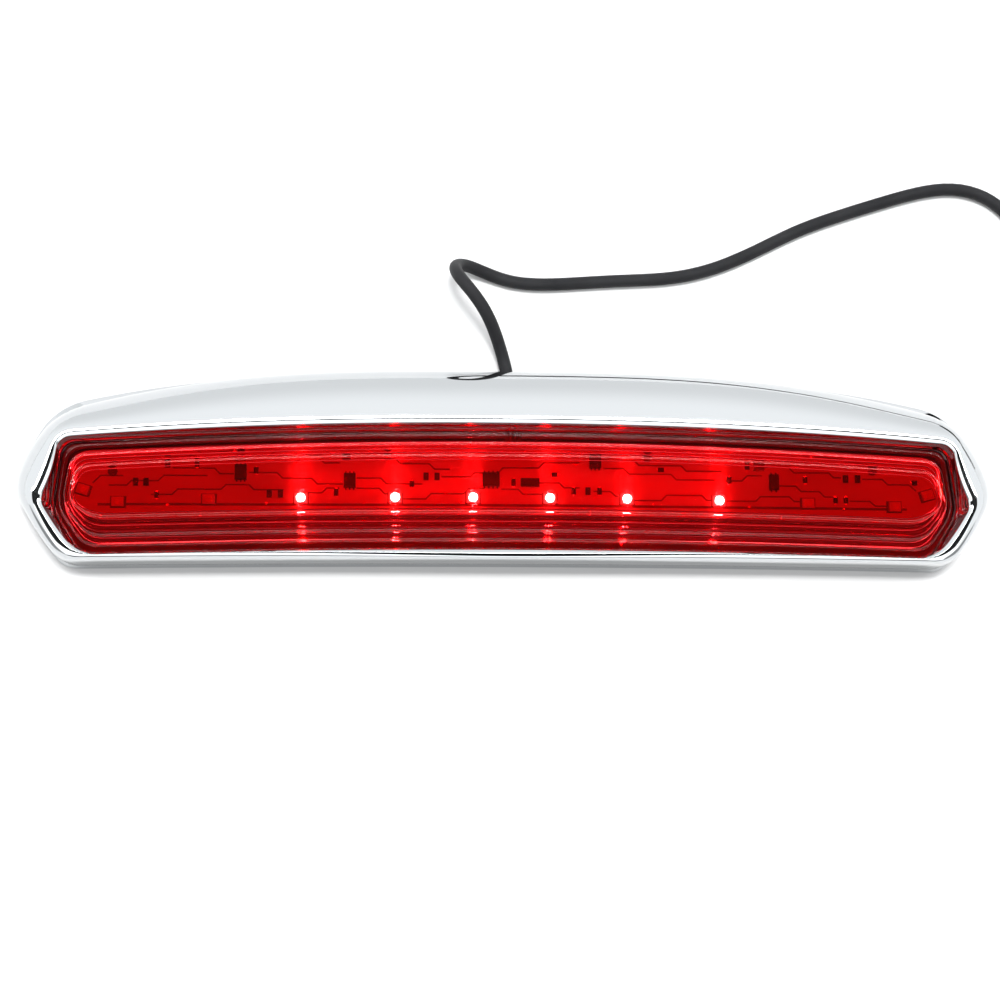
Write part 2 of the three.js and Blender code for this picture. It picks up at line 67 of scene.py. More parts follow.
# Outlines: top edge at X = 0, upper corner, end point, lower corner, bottom edge at X = 0.
RIM = dict(
    top=28.9, corner=(132.4, 17.6), tip=(144.7, -8.8), foot=(129.6, -30.8), bottom=-29.7,
    arch=3, round=(7, 5, 4), swell=(2.2, 0.9),
)
CREASE = dict(
    top=28.1, corner=(129.8, 15.4), tip=(143.8, -8.6), foot=(128.7, -30.2), bottom=-29.2,
    arch=3, round=(7, 5, 4), swell=(2.6, 0.9),
)
OPENING = dict(
    top=10.3, corner=(129.6, 5.0), tip=(134.2, -12.8), foot=(122.6, -28.5), bottom=-26.5,
    arch=2.2, round=(4, 2.5, 6), swell=(-0.9, 0.6),
)
RECESS = dict(
    top=8.9, corner=(129.2, 4.6), tip=(131.4, -15.0), foot=(123.0, -28.2), bottom=-26.2,
    arch=2, round=(4, 4, 4), swell=(0.15, 0.15),
)
LENS_STEPS = (
    (dict(top=7.7, corner=(127.7, 3.2), tip=(129.7, -14.3), foot=(121.7, -25.6), bottom=-23.3), 12.6),
    (dict(top=5.0, corner=(126.2, 0.4), tip=(128.2, -13.6), foot=(120.6, -22.9), bottom=-20.7), 13.6),
    (dict(top=1.3, corner=(124.6, -3.0), tip=(126.7, -12.6), foot=(119.4, -17.6), bottom=-15.4), 14.6),
)
LENS_TOP = 15.6
FLUTES, FLUTE_DEPTH, FLUTE_STEPS = 5, 0.6, 12
CEILINGS = (13.4, 13.1, 12.7, 12.3, 12.0)

NOTCH = dict(left=-4.2, right=2.6, height=4.7, corner=1.8)
NOTCH_REACH = (25.0, 35.0)  # in Y, through the rear rim
NOTCH_FOOT = -1.0  # below the table, so that the cut is open underneath
NOTCH_STEPS = 8  # in each rounded corner

LIT_LEDS = range(4, 10)
LED_LENGTH, LED_WIDTH, LED_HEIGHT = 3.5, 2.8, 1.2
LED_WINDOW = ((1.22, 0), (1.22, 0.06), (1.1, 0.14), (0.8, 0.19), (0.4, 0.21))  # radius and height
END_LED_TURN = 0.28  # radians, inwards at each end of the row
LAND_LENGTH, LAND_WIDTH = 4.6, 3.5

# The lead: control points of its middle line, the coil and the tail to the connector.
SLEEVE_RADIUS = 1.9
TABLE_Z = 2.0
SLEEVE_ROUTE = [
    (0.5, 13.2, 2.3), (0.4, 18, 2.3), (0, 24, 2.3), (-0.9, 29.2, 2.2), (-1.9, 33.4, 2.4),
    (-3.4, 37.2, 5.2), (-5.3, 41, 9.8), (-7.9, 45, 14), (-11.6, 49.6, 16.5), (-15.8, 54.7, 15.4),
    (-17.2, 59.4, 10.6), (-13.8, 61.7, 5), (-7.3, 59.8, TABLE_Z), (-1.4, 57.5, TABLE_Z),
    (5, 56.4, TABLE_Z), (13, 56.4, TABLE_Z), (22, 57.1, TABLE_Z), (34, 58, TABLE_Z),
    (48, 58.6, TABLE_Z), (59, 60.8, TABLE_Z), (69, 64.6, TABLE_Z), (79, 69.6, TABLE_Z),
    (90, 75.4, TABLE_Z), (104, 80.4, TABLE_Z), (118, 85, TABLE_Z), (130, 88.6, TABLE_Z),
    (141, 89.6, TABLE_Z), (151, 86, TABLE_Z), (157.6, 79, TABLE_Z), (161, 72, TABLE_Z),
]
COIL_CENTRE = (187.0, 66.0)
COIL_RADIUS = 21.5
COIL_START, COIL_TURNS = 180.0, 2.25
COIL_STEPS = 36  # points in each turn
JOIN_TURNS, JOIN_REACH = 0.16, 4.2  # how far round, and from how far out, the lead eases on to the coil
JOIN_SKIP = 3  # bunched points left out where two stretches of the lead meet
TAIL_ROUTE = [(193.5, 43.6, 9.8), (198, 41.2, 6), (202.5, 40, 3.9), (205, 40, 3.7), (208, 40, 3.7)]

# ------------------------------------------------------------------ camera

FOCAL_MM = 57.6
CAMERA_PLACE = (-0.0304, -0.0840, 0.4698)
CAMERA_TURN = (9.0, -3.35, -0.12)


def make_camera():
    data = bpy.data.cameras.new("camera")
    data.lens = FOCAL_MM
    data.sensor_width = 36
    data.clip_start = 0.01
    data.clip_end = 20
    camera = bpy.data.objects.new("camera", data)
    camera.location = CAMERA_PLACE
    camera.rotation_euler = [math.radians(a) for a in CAMERA_TURN]
    bpy.context.collection.objects.link(camera)
    bpy.context.scene.camera = camera


make_camera()

# ------------------------------------------------------------------ curves and outlines


def smooth_route(points, steps=4):
    """A cubic B-spline over control points, from the first of them to the last."""
    held = [points[0], points[0], *points, points[-1], points[-1]]
    held = np.array(held, float)
    route = []
    for i in range(len(held) - 3):
        for t in np.arange(steps) / steps:
            weights = np.array([(1 - t) ** 3, 3 * t**3 - 6 * t**2 + 4, 3 * (t + t**2 - t**3) + 1, t**3])
            route.append(weights @ held[i : i + 4] / 6)
    return [*route, held[-1]]


def coil_route():
    """The turns of the coil, each one lying on the last."""
    points = []
    steps = int(COIL_STEPS * COIL_TURNS)
    for i in range(steps + 1):
        share = i / steps
        angle = math.radians(COIL_START + 360 * COIL_TURNS * share)
        joining = max(0.0, 1 - share * COIL_TURNS / JOIN_TURNS)
        radius = COIL_RADIUS + JOIN_REACH * joining**2
        x = COIL_CENTRE[0] + radius * math.cos(angle)
        y = COIL_CENTRE[1] + radius * math.sin(angle)
        z = TABLE_Z + 2 * SLEEVE_RADIUS * COIL_TURNS * share
        points.append((x, y, z))
    return points


def lerp(a, b, t):
    return a + (b - a) * t


def on_side(start, end, swell, t):
    """A point between two corners, swelled outwards in the middle."""
    dx, dy = end[0] - start[0], end[1] - start[1]
    push = 4 * t * (1 - t) * swell / math.hypot(dx, dy)
    return (lerp(start[0], end[0], t) + dy * push, lerp(start[1], end[1], t) - dx * push)


def bezier(a, b, c, t):
    return tuple((1 - t) ** 2 * p + 2 * t * (1 - t) * q + t**2 * r for p, q, r in zip(a, b, c))


# Points on each edge and at each corner of half an outline, for each step of density.
EDGE_POINTS, CORNER_POINTS = (9, 4, 5, 15), 5
MOST_ROUNDING = 0.42  # the largest share of an edge that a rounded corner may take


def outline(o, density=5):
    """A closed outline, anticlockwise from the middle of the bottom edge, as an array of points."""
    corner, tip, foot = o["corner"], o["tip"], o["foot"]
    edges = [
        lambda t: (foot[0] * t, lerp(o["bottom"], foot[1], t * t)),
        lambda t: on_side(foot, tip, o["swell"][1], t),
        lambda t: on_side(tip, corner, o["swell"][0], t),
        lambda t: (corner[0] * (1 - t), lerp(o["top"], corner[1], (1 - t) ** o["arch"])),
    ]
    lengths = [foot[0], math.dist(foot, tip), math.dist(tip, corner), corner[0]]
    round_at = [o["round"][2], o["round"][1], o["round"][0]]

    def rounding(k, which):
        return min(round_at[which] / lengths[k], MOST_ROUNDING)

    half = []
    for k, edge in enumerate(edges):
        start = 0 if k == 0 else rounding(k, k - 1)
        end = 1 if k == 3 else 1 - rounding(k, k)
        count = EDGE_POINTS[k] * density
        half += [edge(lerp(start, end, i / count)) for i in range(count)]
        if k < 3:
            after = edges[k + 1](rounding(k + 1, k))
            count = CORNER_POINTS * density
            half += [bezier(edge(end), edge(1), after, i / count) for i in range(count)]
    half.append((0, o["top"]))
    mirrored = [(-x, y) for x, y in half[-2:0:-1]]
    return np.array(half + mirrored)


def inset(o, by):
    """The same outline drawn smaller, or larger if the amount is negative."""
    return {
        **o,
        "top": o["top"] - by,
        "corner": (o["corner"][0] - by, o["corner"][1] - by),
        "tip": (o["tip"][0] - by, o["tip"][1]),
        "foot": (o["foot"][0] - 0.7 * by, o["foot"][1] + by),
        "bottom": o["bottom"] + by,
    }


def level(points, z):
    """An outline's points at one height, or at a height for each point."""
    return np.column_stack([points, np.full(len(points), 0.0) + z])


# A ring this many radii from a rounded corner keeps the flat beside it flat in shading.
HOLD = 1.08
MOST_REACH = 0.45  # the largest share of a wall that its rounded corner may take


def rounded(rings, radii, closed, steps=4):
    """Rings with the corner at each one rounded by its radius, across the stack."""
    out = []
    count = len(rings)
    for k, ring in enumerate(rings):
        radius = radii[k]
        if radius == 0 or (not closed and k in (0, count - 1)):
            out.append(ring)
            continue
        before, after = rings[k - 1], rings[(k + 1) % count]
        reach_b = np.linalg.norm(before - ring, axis=1, keepdims=True)
        reach_a = np.linalg.norm(after - ring, axis=1, keepdims=True)
        share_b = np.minimum(radius / np.maximum(reach_b, 1e-6), MOST_REACH)
        share_a = np.minimum(radius / np.maximum(reach_a, 1e-6), MOST_REACH)
        a, c = ring + (before - ring) * share_b, ring + (after - ring) * share_a
        out.append(ring + (before - ring) * share_b * HOLD)
        for i in range(steps + 1):
            t = i / steps
            out.append((1 - t) ** 2 * a + 2 * t * (1 - t) * ring + t**2 * c)
        out.append(ring + (after - ring) * share_a * HOLD)
    return out


# ------------------------------------------------------------------ mesh helpers


def new_object(name, mesh, *materials):
    obj = bpy.data.objects.new(name, mesh)
    bpy.context.collection.objects.link(obj)
    for material in materials:
        obj.data.materials.append(material)
    return obj


def stack(name, rings, closed=False):
    """A mesh of walls between neighbouring rings, capped at both ends unless it closes on itself."""
    n = len(rings[0])
    count = len(rings) if closed else len(rings) - 1
    faces = []
    for k in range(count):
        here, there = k * n, (k + 1) % len(rings) * n
        for i in range(n):
            j = (i + 1) % n
            faces.append((here + i, here + j, there + j, there + i))
    if not closed:
        last = (len(rings) - 1) * n
        faces.append(tuple(range(n - 1, -1, -1)))
        faces.append(tuple(range(last, last + n)))
    mesh = bpy.data.meshes.new(name)
    mesh.from_pydata([tuple(p) for p in np.concatenate(rings) * MM], [], faces)
    mesh.update()
    smooth(mesh)
    return mesh


def smooth(mesh, angle=32):
    mesh.polygons.foreach_set("use_smooth", [True] * len(mesh.polygons))
    mesh.set_sharp_from_angle(angle=math.radians(angle))


def mesh_from(bm, name, angle=32):
    mesh = bpy.data.meshes.new(name)
    bm.to_mesh(mesh)
    bm.free()
    smooth(mesh, angle)
    return mesh


def add_block(bm, low, high, bevel=0.0, segments=2, turn=None):
    """A box with rounded edges added to a bmesh, corners in millimetres."""
    low, high = np.array(low) * MM, np.array(high) * MM
    made = bmesh.ops.create_cube(bm, size=1)["verts"]
    bmesh.ops.scale(bm, vec=Vector(high - low), verts=made)
    bmesh.ops.translate(bm, vec=Vector((low + high) / 2), verts=made)
    if bevel:
        edges = list({e for v in made for e in v.link_edges})
        result = bmesh.ops.bevel(
            bm, geom=edges, offset=bevel * MM, segments=segments, profile=0.6, affect="EDGES"
        )
        made = list({v for f in result["faces"] for v in f.verts} | {v for v in made if v.is_valid})
    if turn is not None:
        bmesh.ops.transform(bm, matrix=turn, verts=made)
    return made


def add_disc_stack(bm, place, profile, sides=32):
    """A round body from (radius, height) pairs, its ends closed."""
    rings = []
    for radius, z in profile:
        ring = []
        for i in range(sides):
            a = 2 * math.pi * i / sides
            x, y = place[0] + radius * math.cos(a), place[1] + radius * math.sin(a)
            ring.append(bm.verts.new((x * MM, y * MM, (place[2] + z) * MM)))
        rings.append(ring)
    for low, high in zip(rings, rings[1:]):
        for i in range(sides):
            j = (i + 1) % sides
            bm.faces.new((low[i], low[j], high[j], high[i]))
    bm.faces.new(rings[0][::-1])
    bm.faces.new(rings[-1])


# ------------------------------------------------------------------ materials


class Look:
    """A Principled material built up with noise-driven variation."""

    def __init__(self, name, colour, roughness, metallic=0.0):
        self.material = bpy.data.materials.new(name)
        self.material.use_nodes = True
        self.tree = self.material.node_tree
        self.shader = self.tree.nodes["Principled BSDF"]
        self.shader.inputs["Base Color"].default_value = (*colour, 1)
        self.shader.inputs["Roughness"].default_value = roughness
        self.shader.inputs["Metallic"].default_value = metallic
        self.where = self.tree.nodes.new("ShaderNodeTexCoord").outputs["Object"]
        self.colour = colour

    def node(self, kind, **values):
        node = self.tree.nodes.new(kind)
        for key, value in values.items():
            node.inputs[key.replace("_", " ")].default_value = value
        return node

    def link(self, a, b):
        self.tree.links.new(a, b)

    def noise(self, scale, detail=3.0, stretch=None):
        where = self.where
        if stretch:
            mapping = self.tree.nodes.new("ShaderNodeMapping")
            mapping.inputs["Scale"].default_value = stretch
            self.link(where, mapping.inputs["Vector"])
            where = mapping.outputs["Vector"]
        noise = self.node("ShaderNodeTexNoise", Scale=scale, Detail=detail)
        self.link(where, noise.inputs["Vector"])
        return noise.outputs["Fac"]

    def ramp(self, source, low, high, start=0.35, end=0.65):
        ramp = self.tree.nodes.new("ShaderNodeMapRange")
        for key, value in (("From Min", start), ("From Max", end), ("To Min", low), ("To Max", high)):
            ramp.inputs[key].default_value = value
        self.link(source, ramp.inputs["Value"])
        return ramp.outputs["Result"]

    def vary_colour(self, other, scale, detail=3.0, start=0.35, end=0.65):
        mix = self.tree.nodes.new("ShaderNodeMix")
        mix.data_type = "RGBA"
        mix.inputs["A"].default_value = (*self.colour, 1)
        mix.inputs["B"].default_value = (*other, 1)
        self.link(self.ramp(self.noise(scale, detail), 0, 1, start, end), mix.inputs["Factor"])
        self.link(mix.outputs["Result"], self.shader.inputs["Base Color"])
        return self

    def vary_roughness(self, low, high, scale, detail=3.0):
        self.link(self.ramp(self.noise(scale, detail), low, high), self.shader.inputs["Roughness"])
        return self

    def bump(self, scale, strength, distance, detail=3.0, stretch=None):
        bump = self.node("ShaderNodeBump", Strength=strength, Distance=distance)
        self.link(self.noise(scale, detail, stretch), bump.inputs["Height"])
        self.link(bump.outputs["Normal"], self.shader.inputs["Normal"])
        return self

    def set(self, **values):
        for key, value in values.items():
            self.shader.inputs[key.replace("_", " ")].default_value = value
        return self


LED_GLOW, CASE_GLOW = 2500.0, 8.0


def chrome():
    look = Look("chrome_plating", (0.550, 0.565, 0.575), 0.03, 1.0)
    look.set(Specular_Tint=(1, 1, 1, 1))
    look.vary_roughness(0.02, 0.06, 60)
    look.bump(28, 0.04, 0.0004, detail=2)
    return look.material


LENS_HAZE = 0.006
RIB_PITCH, RIB_SLOPE = 0.23 * MM, 1.1


def ribbed_normal(look):
    """A normal that swings up and down the lens, as fine moulded ribs along X make it."""
    nodes, geometry = look.tree.nodes, look.tree.nodes.new("ShaderNodeNewGeometry")
    split = nodes.new("ShaderNodeSeparateXYZ")
    look.link(look.where, split.inputs["Vector"])
    phase = nodes.new("ShaderNodeMath")
    phase.operation = "MULTIPLY"
    phase.inputs[1].default_value = 2 * math.pi / RIB_PITCH
    look.link(split.outputs["Y"], phase.inputs[0])
    wave = nodes.new("ShaderNodeMath")
    wave.operation = "SINE"
    look.link(phase.outputs["Value"], wave.inputs[0])
    slope = nodes.new("ShaderNodeMath")
    slope.operation = "MULTIPLY"
    slope.inputs[1].default_value = RIB_SLOPE
    look.link(wave.outputs["Value"], slope.inputs[0])
    lean = nodes.new("ShaderNodeCombineXYZ")
    look.link(slope.outputs["Value"], lean.inputs["Y"])
    add = nodes.new("ShaderNodeVectorMath")
    look.link(geometry.outputs["Normal"], add.inputs[0])
    look.link(lean.outputs["Vector"], add.inputs[1])
    unit = nodes.new("ShaderNodeVectorMath")
    unit.operation = "NORMALIZE"
    look.link(add.outputs["Vector"], unit.inputs[0])
    return unit.outputs["Vector"]


def red_lens():
    look = Look("red_lens", (0.93, 0.013, 0.02), 0.0)
    look.set(Transmission_Weight=1.0, IOR=1.49, Roughness=0.0, Specular_IOR_Level=0.5)
    look.vary_roughness(0.0, 0.02, 90)
    look.bump(55, 0.01, 0.0003, detail=2)
    see_through = look.node("ShaderNodeBsdfTransparent")
    see_through.inputs["Color"].default_value = (0.62, 0.05, 0.07, 1)
    ribbed = look.node("ShaderNodeBsdfGlass", Color=(0.93, 0.06, 0.08, 1), Roughness=0.1, IOR=1.49)
    look.link(ribbed_normal(look), ribbed.inputs["Normal"])
    haze = look.tree.nodes.new("ShaderNodeMixShader")
    haze.inputs["Fac"].default_value = LENS_HAZE
    look.link(look.shader.outputs["BSDF"], haze.inputs[1])
    look.link(ribbed.outputs["BSDF"], haze.inputs[2])
    path = look.tree.nodes.new("ShaderNodeLightPath")
    mix = look.tree.nodes.new("ShaderNodeMixShader")
    output = look.tree.nodes["Material Output"]
    look.link(path.outputs["Is Shadow Ray"], mix.inputs["Fac"])
    look.link(haze.outputs["Shader"], mix.inputs[1])
    look.link(see_through.outputs["BSDF"], mix.inputs[2])
    look.link(mix.outputs["Shader"], output.inputs["Surface"])
    return look.material


def black_plastic():
    look = Look("black_plastic", (0.02, 0.021, 0.023), 0.5)
    look.vary_colour((0.032, 0.033, 0.036), 40).bump(900, 0.25, 0.0001)
    look.vary_roughness(0.42, 0.58, 70)
    return look.material


def carrier_plastic_painted_glow():
    # Grey, lighter than the black plastic: the plastic's own colour with painted light added, for the LED
    # light scattered inside the lamp.
    look = Look("carrier_plastic_painted_glow", (0.15, 0.15, 0.155), 0.45)
    look.vary_colour((0.11, 0.11, 0.115), 50).bump(900, 0.2, 0.0001)
    return look.material


def black_rubber():
    look = Look("black_rubber", (0.025, 0.026, 0.028), 0.8)
    look.vary_colour((0.04, 0.041, 0.044), 60).bump(500, 0.3, 0.0001)
    return look.material


def cord_skin():
    look = Look("cord_sleeve", (0.006, 0.006, 0.007), 0.62)
    look.set(Specular_IOR_Level=0.22)
    look.vary_colour((0.011, 0.011, 0.012), 45).bump(700, 0.22, 0.00008)
    look.vary_roughness(0.52, 0.72, 120)
    return look.material


def board_enamel():
    look = Look("board_enamel", (0.80, 0.79, 0.76), 0.4)
    look.vary_colour((0.70, 0.68, 0.64), 35, start=0.4, end=0.6)
    look.bump(350, 0.15, 0.00005)
    look.vary_roughness(0.33, 0.5, 90)
    return look.material


def track_copper():
    look = Look("board_tracks", (0.23, 0.20, 0.17), 0.45)
    look.vary_colour((0.14, 0.12, 0.10), 120)
    look.vary_roughness(0.35, 0.55, 200)
    return look.material


def solder():
    look = Look("solder", (0.72, 0.72, 0.70), 0.25, 0.9)
    look.vary_roughness(0.15, 0.4, 300).bump(500, 0.3, 0.00005)
    return look.material


def led_case():
    look = Look("led_package", (0.88, 0.86, 0.80), 0.35)
    look.vary_colour((0.80, 0.77, 0.70), 300).vary_roughness(0.28, 0.42, 400)
    return look.material


def lit_case():
    look = Look("led_package_lit", (0.88, 0.80, 0.66), 0.35)
    look.vary_colour((0.80, 0.70, 0.56), 300).vary_roughness(0.28, 0.42, 400)
    look.set(Emission_Color=(1.0, 0.62, 0.42, 1), Emission_Strength=CASE_GLOW)
    return look.material


def phosphor():
    look = Look("led_phosphor", (0.85, 0.62, 0.16), 0.3)
    look.vary_colour((0.92, 0.70, 0.22), 700).bump(900, 0.2, 0.00003)
    return look.material


def lit_phosphor():
    look = Look("led_lit", (0.9, 0.8, 0.5), 0.3)
    look.vary_roughness(0.25, 0.4, 500)
    look.set(Emission_Color=(1.0, 0.86, 0.62, 1), Emission_Strength=LED_GLOW)
    return look.material


def chip_resin():
    look = Look("chip_resin", (0.022, 0.022, 0.026), 0.42)
    look.vary_colour((0.035, 0.035, 0.04), 400).bump(1800, 0.3, 0.00003)
    return look.material


def chip_ceramic():
    look = Look("chip_ceramic", (0.20, 0.14, 0.09), 0.4)
    look.vary_colour((0.26, 0.19, 0.12), 500).bump(1500, 0.2, 0.00003)
    return look.material


def screw_steel():
    look = Look("screw_steel", (0.55, 0.56, 0.57), 0.32, 1.0)
    look.vary_roughness(0.25, 0.45, 250).bump(600, 0.2, 0.00005)
    return look.material


def foam():
    look = Look("foam", (0.035, 0.036, 0.039), 0.95)
    look.vary_colour((0.06, 0.061, 0.065), 500).bump(1100, 0.7, 0.0003)
    return look.material


def wire_skin(name, colour, other):
    look = Look(name, colour, 0.4)
    look.vary_colour(other, 200).bump(900, 0.15, 0.00003)
    return look.material


def brass():
    look = Look("brass", (0.80, 0.60, 0.28), 0.25, 1.0)
    look.vary_roughness(0.18, 0.4, 300).bump(500, 0.15, 0.00003)
    return look.material


def paper():
    look = Look("table_top", (0.50, 0.50, 0.50), 0.9)
    look.vary_roughness(0.85, 0.95, 10)
    return look.material


# ------------------------------------------------------------------ lead


def make_lead():
    route = smooth_route(SLEEVE_ROUTE)[:-1]
    route = [*route[:-JOIN_SKIP], *coil_route()]
    route += smooth_route([route[-1], *TAIL_ROUTE])[JOIN_SKIP:]
    curve = bpy.data.curves.new("cord", "CURVE")
    curve.dimensions = "3D"
    curve.bevel_depth = SLEEVE_RADIUS * MM
    curve.bevel_resolution = 6
    curve.use_fill_caps = True
    spline = curve.splines.new("POLY")
    spline.points.add(len(route) - 1)
    for point, place in zip(spline.points, route):
        point.co = (*(c * MM for c in place), 1)
    spline.use_smooth = True
    cord = bpy.data.objects.new("cord", curve)
    bpy.context.collection.objects.link(cord)
    curve.materials.append(cord_skin())
    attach(cord, "root")
    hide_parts("cord_sleeve", "cord_coil", "cord_tail")


make_lead()

# ------------------------------------------------------------------ housing


def housing_rings():
    recess, rim = outline(RECESS), outline(RIM)
    crease, opening = outline(CREASE), outline(OPENING)
    width = np.linalg.norm(rim - recess, axis=1)
    out = (rim - recess) / width[:, None]
    shoulder_in = 0.68 * np.linalg.norm(opening - recess, axis=1) + SHELL_WALL
    crease_in = np.maximum(width - 0.8 - SHELL_WALL, shoulder_in + 0.15)
    room = crease_in - shoulder_in
    inner_top = SEAT_Z + np.minimum(3.2, 0.3 * room)
    power = 2 + 1.5 * ((room - 9) / 7.5) ** 2
    lip = (crease - opening) / np.linalg.norm(crease - opening, axis=1)[:, None]
    crest_in, crest = opening + LIP_FLARE * lip, opening + (LIP_FLARE + LIP_FLAT) * lip

    def at(distance, z):
        return level(recess + out * np.broadcast_to(distance, width.shape)[:, None], z)

    def height(top, s):
        return RIM_BAND_TOP + (top - RIM_BAND_TOP) * (1 - s**power) ** (1 / power)

    shares = np.sin(np.linspace(0, math.pi / 2, 26))[1:-1]
    rings, radii = [], []

    def add(ring, radius=0.0):
        rings.append(ring)
        radii.append(radius)

    add(level(rim, 0.0), 0.35)
    add(level(rim, 0.9), 0.5)
    add(level(crease, RIM_BAND_TOP), 0.45)
    for s in shares[::-1]:
        fall = SHOULDER_SLOPE * np.linalg.norm(crease - crest, axis=1) * s
        add(level(lerp(crest, crease, s), height(LIP_CREST - fall, s)))
    add(level(crest, LIP_CREST))
    add(level(crest_in, LIP_CREST), 0.2)
    add(level(opening, LIP_TOP), 0.3)
    add(level(recess, SEAT_Z), 0.2)
    add(at(SEAT_WIDTH, SEAT_Z), 0.15)
    add(at(shoulder_in, inner_top), 0.3)
    for s in shares[::3]:
        add(at(lerp(shoulder_in, crease_in, s), height(inner_top, s)))
    add(at(crease_in, RIM_BAND_TOP))
    add(at(np.maximum(width - 2.1, crease_in), 0.0), 0.3)
    return rounded(rings, radii, closed=True)


def notch_cutter():
    """The cable notch's profile in X and Z, pushed through the rear rim."""
    n, corner = NOTCH, NOTCH["corner"]
    profile = [(n["left"], NOTCH_FOOT)]
    for middle, start in ((n["left"] + corner, math.pi), (n["right"] - corner, math.pi / 2)):
        for step in range(NOTCH_STEPS + 1):
            a = start - math.pi / 2 * step / NOTCH_STEPS
            profile.append((middle + corner * math.cos(a), n["height"] - corner + corner * math.sin(a)))
    profile.append((n["right"], NOTCH_FOOT))
    bm = bmesh.new()
    near, far = ([bm.verts.new(Vector((x, y, z)) * MM) for x, z in profile] for y in NOTCH_REACH)
    count = len(profile)
    for i in range(count):
        j = (i + 1) % count
        bm.faces.new((near[i], near[j], far[j], far[i]))
    bm.faces.new(near[::-1])
    bm.faces.new(far)
    bmesh.ops.recalc_face_normals(bm, faces=bm.faces)
    return bpy.data.objects.new("notch_cutter", mesh_from(bm, "notch_cutter"))


def cut(obj, cutter):
    """Cuts one object's mesh with another's and keeps the result as the mesh."""
    bpy.context.collection.objects.link(cutter)
    modifier = obj.modifiers.new("cut", "BOOLEAN")
    modifier.operation = "DIFFERENCE"
    modifier.solver = "EXACT"
    modifier.object = cutter
    bpy.context.view_layer.update()
    ready = obj.evaluated_get(bpy.context.evaluated_depsgraph_get())
    mesh = bpy.data.meshes.new_from_object(ready)
    obj.modifiers.clear()
    obj.data = mesh
    bpy.data.objects.remove(cutter)
    smooth(mesh)


def make_housing():
    shell = new_object("housing_shell", stack("housing_shell", housing_rings(), closed=True), chrome())
    cut(shell, notch_cutter())
    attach(shell, "root")
    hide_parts("chrome_housing")


make_housing()

# ------------------------------------------------------------------ lens


def make_lens():
    edge = inset(RECESS, 0.3)
    steps = [({**RECESS, **spec}, z) for spec, z in LENS_STEPS]
    rings, radii = [], []

    def add(spec, z, radius=0.0):
        rings.append(level(outline(spec), z))
        radii.append(radius)

    inner, wall = outline(inset(steps[2][0], 1.2)), outline(inset(RECESS, 3.2))
    for share in np.linspace(0, 1, FLUTES * FLUTE_STEPS + 1):
        across = (share * FLUTES) % 1 * 2 - 1
        drop = FLUTE_DEPTH * math.sqrt(max(0.0, 1 - across * across))
        ceiling = CEILINGS[min(int(share * FLUTES), FLUTES - 1)]
        rings.append(level(lerp(inner, wall, share), ceiling - drop))
        radii.append(0.0)
    add(inset(RECESS, 3.2), FLANGE_Z[0], 0.2)
    add(inset(RECESS, -1), FLANGE_Z[0], 0.2)
    add(inset(RECESS, -1), FLANGE_Z[1], 0.2)
    add(edge, FLANGE_Z[1], 0.1)
    add(edge, steps[0][1], 0.35)
    for k, (spec, z) in enumerate(steps):
        above = steps[k + 1][1] if k < 2 else LENS_TOP
        add(spec, z, 0.3)
        add(spec, above, 0.42)
    add(inset(steps[2][0], 1.2), LENS_TOP)
    lens = new_object("red_lens", stack("red_lens", rounded(rings, radii, closed=False, steps=6)), red_lens())
    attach(lens, "root")
    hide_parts("outer_lens")


make_lens()

# ------------------------------------------------------------------ board details


def centre_of(node):
    low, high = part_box(node)
    return (Vector(low) + Vector(high)) / (2 * MM)


def turned_at(place, z, turn):
    """The matrix that sets a piece down on the board, turned about its own middle."""
    return Matrix.Translation(Vector((place.x, place.y, z)) * MM) @ Matrix.Rotation(turn, 4, "Z")


def make_leds():
    case, glowing, dull, bright = led_case(), lit_case(), phosphor(), lit_phosphor()
    lands = bmesh.new()
    for i in range(1, 13):
        node = f"led_{i:02d}"
        place = centre_of(node)
        turn = {1: -END_LED_TURN, 12: END_LED_TURN}.get(i, 0.0)
        base = BOARD_TOP + 0.1
        x, y = LAND_LENGTH / 2, LAND_WIDTH / 2
        add_block(lands, (-x, -y, 0.01), (x, y, 0.07), 0.02, turn=turned_at(place, BOARD_TOP, turn))
        bm = bmesh.new()
        x, y = LED_LENGTH / 2, LED_WIDTH / 2
        add_block(bm, (-x, -y, 0), (x, y, LED_HEIGHT), 0.12, turn=turned_at(place, base, turn))
        name = f"led_body_{i:02d}"
        body = new_object(name, mesh_from(bm, name), glowing if i in LIT_LEDS else case)
        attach(body, "root")
        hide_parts(node)
        bm = bmesh.new()
        add_disc_stack(bm, (place.x, place.y, base + LED_HEIGHT + 0.005), LED_WINDOW)
        name = f"led_window_{i:02d}"
        window = new_object(name, mesh_from(bm, name), bright if i in LIT_LEDS else dull)
        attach(window, "root")
    pads = new_object("led_lands", mesh_from(lands, "led_lands"), track_copper())
    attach(pads, "root")


make_leds()

